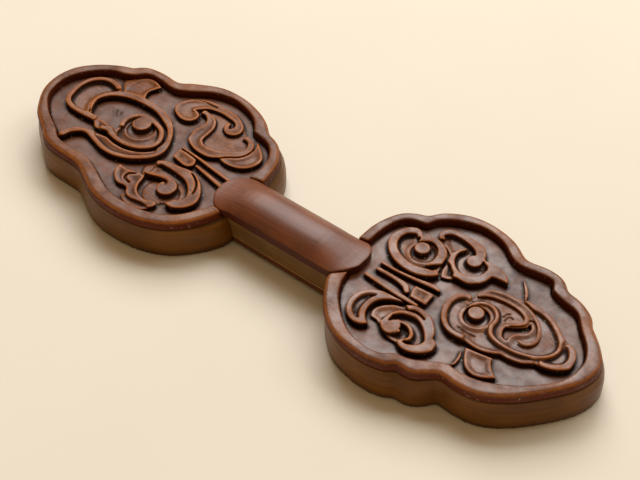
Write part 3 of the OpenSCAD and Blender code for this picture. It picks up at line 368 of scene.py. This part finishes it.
def attribute(tree, name):
    """One of the values that keep() stored on a piece."""
    return grow(tree, "ShaderNodeAttribute", {"attribute_name": name}, output=2)


def new_material(name):
    """An empty material and its node tree."""
    material = bpy.data.materials.new(name)
    material.use_nodes = True
    tree = material.node_tree
    tree.nodes.clear()
    return material, tree


def finish_material(tree, colour, roughness, bump, strength, distance, specular, coat=0.0, haze=0.3):
    """The waxed surface: colour, roughness, wax coat and bump vary, the rest is the same all over."""
    relief = grow(tree, "ShaderNodeBump", None,
                  {"Strength": strength, "Distance": distance, "Height": bump})
    surface = grow(tree, "ShaderNodeBsdfPrincipled", None,
                   {"Base Color": colour, "Roughness": roughness, "Normal": relief,
                    "Specular IOR Level": specular, "Coat Weight": coat, "Coat Roughness": haze})
    grow(tree, "ShaderNodeOutputMaterial", None, {"Surface": surface})


def carved_wood(name, top, dark, dark_wax_and_shade, stretch=(1, 3, 3), thin=0.25, wear_gain=0.6):
    """Waxed hardwood of the carving: streaks, rubbed orange edges, dark wax and painted shade in the hollows
    and down the steep walls.
    """
    colours = settings()[1]
    material, tree = new_material(name)
    broad = noise(tree, coordinates(tree), 55, detail=3)
    streak = noise(tree, coordinates(tree, stretch), 420, detail=5, distortion=0.6)
    grain = noise(tree, coordinates(tree, (60, 900, 900)), 1.0, detail=3)
    speck = noise(tree, coordinates(tree), 2600, detail=2)
    gouge = noise(tree, coordinates(tree, stretch), 120, detail=1)
    patch = noise(tree, coordinates(tree), 170, detail=3)
    tone = (broad.spread(0.35, 0.68) * 0.55 + streak.spread(0.34, 0.7) * 0.45).clamped()
    colour = blend_colour(tree, tone, dark, top)
    dull = 1 - along(tree, 0).spread(DULL_X, SHINY_X)
    rubbed = streak.spread(0.2, 0.75) * 0.5 + 0.62
    wear = (attribute(tree, "wear") * (dull * 0.3 + wear_gain) * rubbed).clamped()
    colour = blend_colour(tree, wear, colour, colours.worn)
    # Dark wax and painted shade in the folds and down the steep walls.
    painted_shade_and_wax = (attribute(tree, "painted_shade_and_wax") * (broad.spread(0.25, 0.7) * 0.35 + 0.8)).clamped()
    colour = blend_colour(tree, painted_shade_and_wax, colour, dark_wax_and_shade)
    dust = noise(tree, coordinates(tree), 800, detail=2).spread(0.64, 0.74) * (painted_shade_and_wax * 0.6 + 0.06)
    colour = blend_colour(tree, dust, colour, colours.dust)
    wax = ((patch.spread(0.3, 0.7) * (1.0 - thin) + thin) * (1 - dull * 0.58) * (1 - painted_shade_and_wax)).clamped()
    height = gouge * 0.7 + streak * 0.16 + grain * 0.05 + speck * 0.03
    finish_material(tree, colour, speck * 0.1 + 0.5, height, 0.5, 0.6 * MM, 0.12, wax)
    return material


def wall_wood(name, wall, dark, seam_z, glue_z=BELOW_ALL, foot_shadow=0.6, seam_shade=0.5):
    """Side walls with fine level grain, a painted shadow towards the foot and painted shade just under the
    seam, with a pale line of old glue.
    """
    colours = settings()[1]
    material, tree = new_material(name)
    level = noise(tree, coordinates(tree, (25, 25, 1400)), 1.0, detail=5, roughness=0.6, distortion=0.2)
    fibre = noise(tree, coordinates(tree, (110, 110, 5200)), 1.0, detail=3)
    broad = noise(tree, coordinates(tree, (1, 1, 1.6)), 48, detail=3)
    speck = noise(tree, coordinates(tree), 2200, detail=2)
    height = along(tree, 2)
    tone = (level.spread(0.3, 0.72) * 0.45 + broad.spread(0.3, 0.7) * 0.4 + fibre * 0.15).clamped()
    colour = blend_colour(tree, tone, dark, wall)
    # Painted shade just under the seam, where the rim or the cover stands over the wall.
    under = height.spread(seam_z - 0.9 * MM, seam_z - 0.1 * MM) * seam_shade
    # Painted shadow darkening the wall towards its foot.
    foot = (1 - height.spread(0.4 * MM, 4 * MM)) * foot_shadow
    colour = blend_colour(tree, (under + foot).clamped(), colour, colours.wall_painted_shade)
    glue = (height.spread(glue_z - 0.35 * MM, glue_z - 0.1 * MM)
            - height.spread(glue_z + 0.05 * MM, glue_z + 0.25 * MM)) * broad.spread(0.2, 0.6)
    colour = blend_colour(tree, glue.clamped(), colour, colours.glue)
    rough = level.spread(0.2, 0.8) * 0.1 + 0.26 + speck * 0.05
    finish_material(tree, colour, rough, level * 0.5 + fibre * 0.3 + speck * 0.1, 0.14, 0.05 * MM, 0.2)
    return material


def polished_wood(name):
    """Polished wood of the handle's cover with fine lengthwise grain."""
    colours = settings()[1]
    material, tree = new_material(name)
    grain = noise(tree, coordinates(tree, (45, 1500, 900)), 1.0, detail=6, roughness=0.62, distortion=0.2)
    fibre = noise(tree, coordinates(tree, (120, 4200, 2600)), 1.0, detail=3)
    broad = noise(tree, coordinates(tree), 70, detail=3)
    tone = (grain.spread(0.2, 0.8) * 0.4 + broad.spread(0.3, 0.7) * 0.35 + fibre * 0.25).clamped()
    colour = blend_colour(tree, tone, colours.cover_dark, colours.cover)
    wear = (attribute(tree, "wear") * (broad.spread(0.2, 0.7) * 0.4 + 0.6)).clamped()
    colour = blend_colour(tree, wear, colour, colours.worn)
    # On the cover these values carry only the painted shade down its sides.
    painted_shade_and_wax = attribute(tree, "painted_shade_and_wax").clamped()
    colour = blend_colour(tree, painted_shade_and_wax, colour, colours.cover_side_shade)
    shiny = along(tree, 0).spread(COVER_DULL_X, COVER_SHINY_X) * 0.6 + 0.4
    wax = (shiny * (grain * 0.8 + 0.5) * (1 - painted_shade_and_wax)).clamped()
    finish_material(tree, colour, 0.5, grain * 0.5 + fibre * 0.5, 0.4, 0.06 * MM, 0.12, wax, 0.42)
    return material


def alone(thing):
    """Selects one object and nothing else."""
    bpy.ops.object.select_all(action="DESELECT")
    thing.select_set(True)
    bpy.context.view_layer.objects.active = thing


def use_modifier(thing, kind, **values):
    """Adds a modifier with its values and applies it."""
    alone(thing)
    modifier = thing.modifiers.new(kind.title(), kind)
    for key, value in values.items():
        setattr(modifier, key, value)
    bpy.ops.object.modifier_apply(modifier=modifier.name)


def band(piece, low, high):
    """A vertex group of the points of a piece between two heights."""
    group = piece.vertex_groups.new(name="band")
    group.add([v.index for v in piece.data.vertices if low < v.co.z < high], 1.0, "REPLACE")
    return group.name


def smooth(piece, passes, low=BELOW_ALL, high=ABOVE_ALL):
    """Rounds the edges of a piece between two heights. The rest is held."""
    use_modifier(piece, "SMOOTH", factor=0.5, iterations=passes, vertex_group=band(piece, low, high))
    piece.vertex_groups.clear()


def evenly_faced(name, nodes, voxel):
    """Merged copies of CAD nodes, joined and given even faces."""
    copies = []
    for node in nodes:
        copies.append(bpy.data.objects.new(name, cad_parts[node].data.copy()))
        bpy.context.scene.collection.objects.link(copies[-1])
    alone(copies[0])
    for thing in copies:
        thing.select_set(True)
    if len(copies) > 1:
        bpy.ops.object.join()
    bpy.ops.object.mode_set(mode="EDIT")
    bpy.ops.mesh.select_all(action="SELECT")
    bpy.ops.mesh.remove_doubles(threshold=WELD)
    bpy.ops.object.mode_set(mode="OBJECT")
    use_modifier(copies[0], "REMESH", mode="VOXEL", voxel_size=voxel, use_smooth_shade=True)
    return copies[0]


def softened(node, voxel, passes=0):
    """The visible piece for a CAD node: a merged copy with even faces, its edges rounded by smoothing when
    passes are given, as if carved.
    """
    piece = evenly_faced("carved_" + node, [node], voxel)
    if passes:
        smooth(piece, passes)
    piece.data.materials.clear()
    bpy.ops.object.shade_smooth()
    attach(piece, "root")
    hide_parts(node)
    return piece


def head_guide(side, sizes, seam):
    """A head's block and rim as one soft form, which both are drawn to, so that they meet in a fine seam."""
    guide = evenly_faced("guide", [side + "_block", side + "_rim"], sizes.guide_voxel)
    smooth(guide, sizes.rim_rounding, seam)
    smooth(guide, sizes.wall_rounding, BELLY_FOOT, seam + BELLY_OVER_SEAM)
    return guide


def draw_to(piece, guide, low, high):
    """Moves the points of a piece between two heights on to a guide."""
    use_modifier(piece, "SHRINKWRAP", target=guide, wrap_method="NEAREST_SURFACEPOINT",
                 vertex_group=band(piece, low, high))
    piece.vertex_groups.clear()
    smooth(piece, GUIDE_PASSES, low, high)


def places(piece):
    """The points of a piece, one row each."""
    flat = np.empty(len(piece.data.vertices) * 3)
    piece.data.vertices.foreach_get("co", flat)
    return flat.reshape(-1, 3)


def put(piece, spots):
    """Moves the points of a piece."""
    piece.data.vertices.foreach_set("co", spots.ravel())
    piece.data.update()


def facings(piece):
    """The normals at the points of a piece, one row each."""
    flat = np.empty(len(piece.data.vertices) * 3, dtype=np.float32)
    piece.data.vertex_normals.foreach_get("vector", flat)
    return flat.reshape(-1, 3).astype(float)


def piece_edges(piece):
    """The pairs of points that are joined by an edge, one row each."""
    flat = np.empty(len(piece.data.edges) * 2, dtype=np.int64)
    piece.data.edges.foreach_get("vertices", flat)
    return flat.reshape(-1, 2)


def evened(values, edges, passes):
    """Values of the points, each moved halfway to the mean of its neighbours, several times."""
    count = len(values)
    share = np.bincount(edges.ravel(), minlength=count)
    share[share == 0] = 1
    values = values.copy()
    for _ in range(passes):
        for k in range(values.shape[1]):
            total = np.bincount(edges[:, 0], values[edges[:, 1], k], count)
            total += np.bincount(edges[:, 1], values[edges[:, 0], k], count)
            values[:, k] += 0.5 * (total / share - values[:, k])
    return values


def bulge(piece, passes):
    """How far each point stands out of its smoothed surroundings, in millimetres."""
    spots = places(piece)
    around = evened(spots, piece_edges(piece), passes)
    return ((spots - around) * facings(piece)).sum(axis=1) / MM


def ease(values, low, high):
    """0 at low, 1 at high, eased between them."""
    t = np.clip((values - low) / (high - low), 0, 1)
    return t * t * (3 - 2 * t)


def keep(piece, name, values):
    """Stores one value for each point of a piece, for the materials."""
    layer = piece.data.attributes.new(name, "FLOAT", "POINT")
    layer.data.foreach_set("value", np.clip(values, 0, 1).astype(np.float32))


def points_between(first, last, gap):
    """Evenly spaced points on a straight line, both ends included."""
    steps = max(1, math.ceil((last - first).length / gap))
    return [first.lerp(last, i / steps) for i in range(steps + 1)]


def search_tree(spots, lift=1.0):
    """A tree that finds the nearest of some spots, with heights counted lift times."""
    tree = kdtree.KDTree(len(spots))
    for i, (x, y, z) in enumerate(spots):
        tree.insert((x, y, z * lift), i)
    tree.balance()
    return tree


def gaps_to(spots, points, lift=1.0):
    """How far each point lies from the nearest of some spots, with heights counted lift times."""
    if len(spots) == 0:
        return np.full(len(points), FAR_AWAY)
    tree = search_tree(spots, lift)
    return np.array([tree.find((x, y, z * lift))[2] for x, y, z in points])


def crests(node, above):
    """Points along the edges of a CAD node that fold outwards above a height."""
    solid = bmesh.new()
    solid.from_mesh(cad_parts[node].data)
    bmesh.ops.remove_doubles(solid, verts=solid.verts, dist=WELD)
    solid.normal_update()
    spots = []
    for edge in solid.edges:
        if len(edge.link_faces) != 2:
            continue
        first, last = (v.co.copy() for v in edge.verts)
        if edge.calc_face_angle_signed(0) > CREST_FOLD and min(first.z, last.z) > above:
            spots += points_between(first, last, 0.2 * MM)
    solid.free()
    return spots


def dish(piece, node, ground_z, depth):
    """Hollows the level tops of a carved piece, away from their edges, as a gouge leaves them."""
    spots, facing = places(piece), facings(piece)
    gap = gaps_to(crests(node, ground_z + CARVING_FOOT), spots, CREST_LIFT)
    level = ease(facing[:, 2], 0.6, 0.9)
    level = level * (spots[:, 2] > ground_z + DISH_LOW) * (spots[:, 2] < ground_z + DISH_HIGH)
    spots[:, 2] -= depth * level * ease(gap, *DISH_FROM_CREST)
    put(piece, spots)


def drawn_at(side, u, v):
    """The place of a point of a head's drawing, on the floor."""
    return Vector((OUTWARDS[side] * (NECK_SPAN / 2 + u * HEAD_LENGTH), (v + AXIS_SHARE) * HEAD_LENGTH, 0))


def incise(piece, node, side, depth):
    """Cuts the fine lines of a piece into its top, and returns how near each of its points lies to one."""
    cut = []
    for line in INCISED_SHARE.get(node, ()):
        corners = [drawn_at(side, u, v) for u, v in line]
        for first, last in zip(corners, corners[1:]):
            cut += points_between(first, last, 0.15 * MM)
    spots = places(piece)
    near = (1 - ease(gaps_to(cut, spots, 0.0), *LINE_WIDTH)) * ease(facings(piece)[:, 2], 0.4, 0.8)
    spots[:, 2] -= depth * near
    put(piece, spots)
    return near


def mark_carving(piece, ground_z):
    """Rubbed orange along the crests of a carved piece; dark wax and painted shade in its folds, and painted
    shade down its walls.
    """
    rise = facings(piece)[:, 2]
    height = (places(piece)[:, 2] - ground_z) / MM
    stand = bulge(piece, 60)
    worn = ease(stand, 0.05, 0.36) * ease(rise, 0.05, 0.75)
    # Painted shade down the steep walls, darker towards their foot.
    steep_wall_shade = (1 - ease(rise, 0.25, 0.7)) * (0.95 - 0.3 * ease(height, 0.6, 2.4))
    keep(piece, "wear", worn)
    keep(piece, "painted_shade_and_wax", np.maximum(steep_wall_shade, ease(-stand, 0.05, 0.2)) * (1 - 0.6 * worn))


def mark_rim(piece, board):
    """Orange along the outer edge of a rim's top; dark red wax and painted shade down its roll and its inner
    wall.
    """
    spots, facing = places(piece), facings(piece)
    tree = search_tree([v.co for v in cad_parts[board].data.vertices], 0.0)
    away = spots[:, :2] - np.array([tree.find((x, y, 0))[0][:2] for x, y, _ in spots])
    outer = (away * facing[:, :2]).sum(axis=1) > 0
    rise = facing[:, 2]
    edge = ease(rise, 0.42, 0.75) * (1 - ease(rise, 0.8, 0.98)) * outer
    stand = ease(bulge(piece, 40), 0.25, 0.8)
    keep(piece, "wear", np.maximum(0.6 * edge, 0.3 * stand * ease(rise, 0.2, 0.8)))
    # Painted shade with dark red wax: darker the steeper the roll or the inner wall faces.
    keep(piece, "painted_shade_and_wax", (1 - ease(rise, 0.2, 0.8)) * np.where(outer, 0.85, 0.9))


def mark_cover(piece):
    """Rubbed orange at the ends of the handle's cover, painted shade in dark red down its sides."""
    keep(piece, "wear", 0.6 * ease(bulge(piece, 30), 0.1, 0.5))
    # Painted shade: darker the steeper the side of the cover faces.
    keep(piece, "painted_shade_and_wax", 0.85 * (1 - ease(facings(piece)[:, 2], 0.2, 0.85)))


def mark_ground(piece, others, reach, lines):
    """Dark wax and painted shade on a ground board, along the foot of all that stands on it and in its fine
    lines.
    """
    spots = places(piece)
    top = spots[:, 2].max()
    feet = np.concatenate([places(other) for other in others])
    low, high = FOOT_BAND
    feet = feet[(feet[:, 2] > top + low) & (feet[:, 2] < top + high)]
    gap = gaps_to(feet, spots)
    gap[spots[:, 2] <= top - BOARD_TOP] = 0
    keep(piece, "wear", np.zeros(len(spots)))
    # Painted shade with dark wax along the foot of the carving and the rim, and in the fine lines.
    keep(piece, "painted_shade_and_wax", np.maximum(1 - ease(gap, 0.15 * reach, reach), 0.7 * lines))


def carve(side):
    """The visible pieces for all the carved forms of a head."""
    sizes, colours = settings()
    wood = bpy.data.materials.get("Carved relief wood") or carved_wood(
        "Carved relief wood", colours.top, colours.top_dark, colours.dark_wax_and_shade)
    ground_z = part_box(side + "_ground")[1].z
    for name in CARVING[side]:
        piece = softened(name, sizes.fine_voxel)
        dish(piece, name, ground_z, sizes.dish_depth)
        smooth(piece, sizes.carving_rounding, ground_z + CARVING_FOOT)
        incise(piece, name, side, sizes.line_depth)
        mark_carving(piece, ground_z)
        piece.data.materials.append(wood)


class RUYI_OT_heads(bpy.types.Operator):
    """Makes the two heads: blocks with fine level grain on their walls, and rolled rims with rubbed edges"""
    bl_idname = "ruyi.heads"
    bl_label = "Heads"

    def execute(self, context):
        sizes, colours = settings()
        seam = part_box("left_rim")[0].z
        walls = wall_wood("Olive wall wood", colours.wall, colours.wall_dark, seam)
        rims = carved_wood("Rubbed rim wood", colours.top, colours.top_dark, colours.rim_wax_and_shade, wear_gain=0.7)
        for side in CARVING:
            guide = head_guide(side, sizes, seam)
            block = softened(side + "_block", sizes.broad_voxel * BLOCK_GRAIN)
            draw_to(block, guide, BLOCK_FOOT, seam - SEAM_GAP)
            block.data.materials.append(walls)
            rim = softened(side + "_rim", sizes.fine_voxel * RIM_GRAIN)
            draw_to(rim, guide, seam + SEAM_GAP, ABOVE_ALL)
            mark_rim(rim, side + "_ground")
            rim.data.materials.append(rims)
            bpy.data.objects.remove(guide)
        return {"FINISHED"}


class RUYI_OT_left_carving(bpy.types.Operator):
    """Makes the carved forms of the left head"""
    bl_idname = "ruyi.left_carving"
    bl_label = "Left Carving"

    def execute(self, context):
        carve("left")
        return {"FINISHED"}


class RUYI_OT_right_carving(bpy.types.Operator):
    """Makes the carved forms of the right head"""
    bl_idname = "ruyi.right_carving"
    bl_label = "Right Carving"

    def execute(self, context):
        carve("right")
        return {"FINISHED"}


class RUYI_OT_grounds(bpy.types.Operator):
    """Makes the sunk grounds with dark wax and painted shade along the foot of the carving"""
    bl_idname = "ruyi.grounds"
    bl_label = "Grounds"

    def execute(self, context):
        sizes, colours = settings()
        wood = carved_wood("Sunk ground wood", colours.ground, colours.ground_dark, colours.dark_wax_and_shade,
                           stretch=(1, 1, 1), thin=0.35)
        for side, names in CARVING.items():
            board = side + "_ground"
            piece = softened(board, sizes.broad_voxel)
            around = [bpy.data.objects["carved_" + name] for name in (*names, side + "_rim")]
            lines = incise(piece, board, side, sizes.line_depth)
            mark_ground(piece, around, sizes.shade_and_wax_reach, lines)
            piece.data.materials.append(wood)
        return {"FINISHED"}


class RUYI_OT_handle(bpy.types.Operator):
    """Makes the polished cover, the core and the base strip of the handle"""
    bl_idname = "ruyi.handle"
    bl_label = "Handle"

    def execute(self, context):
        sizes, colours = settings()
        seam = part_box("handle_core")[1].z
        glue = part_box("handle_strip")[1].z
        cover = softened("handle_cover", sizes.fine_voxel * COVER_GRAIN, COVER_PASSES)
        mark_cover(cover)
        cover.data.materials.append(polished_wood("Polished cover wood"))
        core = softened("handle_core", sizes.broad_voxel, CORE_PASSES)
        core.data.materials.append(wall_wood(
            "Olive handle wood", colours.core, colours.core_dark, seam, glue, foot_shadow=0.0, seam_shade=0.1))
        strip = softened("handle_strip", sizes.broad_voxel * STRIP_GRAIN, STRIP_PASSES)
        strip.data.materials.append(wall_wood(
            "Dark strip wood", colours.strip, colours.strip_dark, seam, glue, foot_shadow=0.2, seam_shade=0.0))
        return {"FINISHED"}


class RUYI_OT_pegs(bpy.types.Operator):
    """Gives the hidden joint pegs their plain wood"""
    bl_idname = "ruyi.pegs"
    bl_label = "Pegs"

    def execute(self, context):
        colours = settings()[1]
        wood = wall_wood("Plain peg wood", colours.peg, colours.peg_dark, ABOVE_ALL)
        for side in CARVING:
            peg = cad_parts[side + "_peg"]
            peg.data.materials.clear()
            peg.data.materials.append(wood)
        return {"FINISHED"}


class RUYI_OT_stage(bpy.types.Operator):
    """Sets up the pale floor, the soft lamps and the camera"""
    bl_idname = "ruyi.stage"
    bl_label = "Stage"

    def execute(self, context):
        colours = settings()[1]
        scene = bpy.context.scene
        bpy.ops.object.select_all(action="DESELECT")
        bpy.ops.mesh.primitive_plane_add(size=FLOOR_SIZE, location=(0, 0, 0))
        floor = bpy.context.object
        floor.name = "pale_floor"
        material, tree = new_material("Pale floor")
        cloudy = noise(tree, coordinates(tree), 9, detail=3).spread(0.2, 0.8)
        colour = blend_colour(tree, cloudy, colours.floor, tuple(0.97 * c for c in colours.floor))
        surface = grow(tree, "ShaderNodeBsdfPrincipled", None,
                       {"Base Color": colour, "Roughness": 0.9, "Specular IOR Level": 0.1})
        grow(tree, "ShaderNodeOutputMaterial", None, {"Surface": surface})
        floor.data.materials.append(material)

        for name, place, size, power in LAMPS:
            lamp = bpy.data.lights.new(name, "AREA")
            lamp.size, lamp.energy, lamp.color = size, power, colours.lamp
            thing = bpy.data.objects.new(name, lamp)
            scene.collection.objects.link(thing)
            thing.location = place
            thing.rotation_euler = (-Vector(place)).to_track_quat("-Z", "Y").to_euler()

        scene.world = bpy.data.worlds.new("Soft room")
        scene.world.use_nodes = True
        tree = scene.world.node_tree
        tree.nodes.clear()
        sky = grow(tree, "ShaderNodeBackground", None, {"Color": (*colours.sky, 1), "Strength": SKY_STRENGTH})
        grow(tree, "ShaderNodeOutputWorld", None, {"Surface": sky})

        camera = bpy.data.cameras.new("Camera")
        camera.lens, camera.sensor_width = CAMERA_LENS, CAMERA_SENSOR
        camera.clip_start = 0.01
        holder = bpy.data.objects.new("Camera", camera)
        scene.collection.objects.link(holder)
        holder.location = CAMERA_PLACE
        holder.rotation_euler = [math.radians(turn) for turn in CAMERA_TURN]
        scene.camera = holder
        scene.view_settings.view_transform = "Standard"
        return {"FINISHED"}


class RUYI_PT_panel(bpy.types.Panel):
    """Lists the settings and the steps"""
    bl_label = "Ruyi Scepter"
    bl_idname = "RUYI_PT_panel"
    bl_space_type = "VIEW_3D"
    bl_region_type = "UI"
    bl_category = "Ruyi"

    def draw(self, context):
        layout = self.layout
        for group in (context.scene.ruyi_sizes, context.scene.ruyi_colours):
            column = layout.column()
            for name in group.__annotations__:
                column.prop(group, name)
        for operator in OPERATORS:
            layout.operator(operator.bl_idname)


OPERATORS = (RUYI_OT_heads, RUYI_OT_left_carving, RUYI_OT_right_carving,
             RUYI_OT_grounds, RUYI_OT_handle, RUYI_OT_pegs, RUYI_OT_stage)
CLASSES = (RuyiSizes, RuyiColours, *OPERATORS, RUYI_PT_panel)


def register():
    for kind in CLASSES:
        bpy.utils.register_class(kind)
    bpy.types.Scene.ruyi_sizes = PointerProperty(type=RuyiSizes)
    bpy.types.Scene.ruyi_colours = PointerProperty(type=RuyiColours)


def unregister():
    del bpy.types.Scene.ruyi_sizes
    del bpy.types.Scene.ruyi_colours
    for kind in reversed(CLASSES):
        bpy.utils.unregister_class(kind)


def main():
    register()
    bpy.ops.ruyi.heads()
    bpy.ops.ruyi.left_carving()
    bpy.ops.ruyi.right_carving()
    bpy.ops.ruyi.grounds()
    bpy.ops.ruyi.handle()
    bpy.ops.ruyi.pegs()
    bpy.ops.ruyi.stage()


if __name__ == "__main__":
    main()
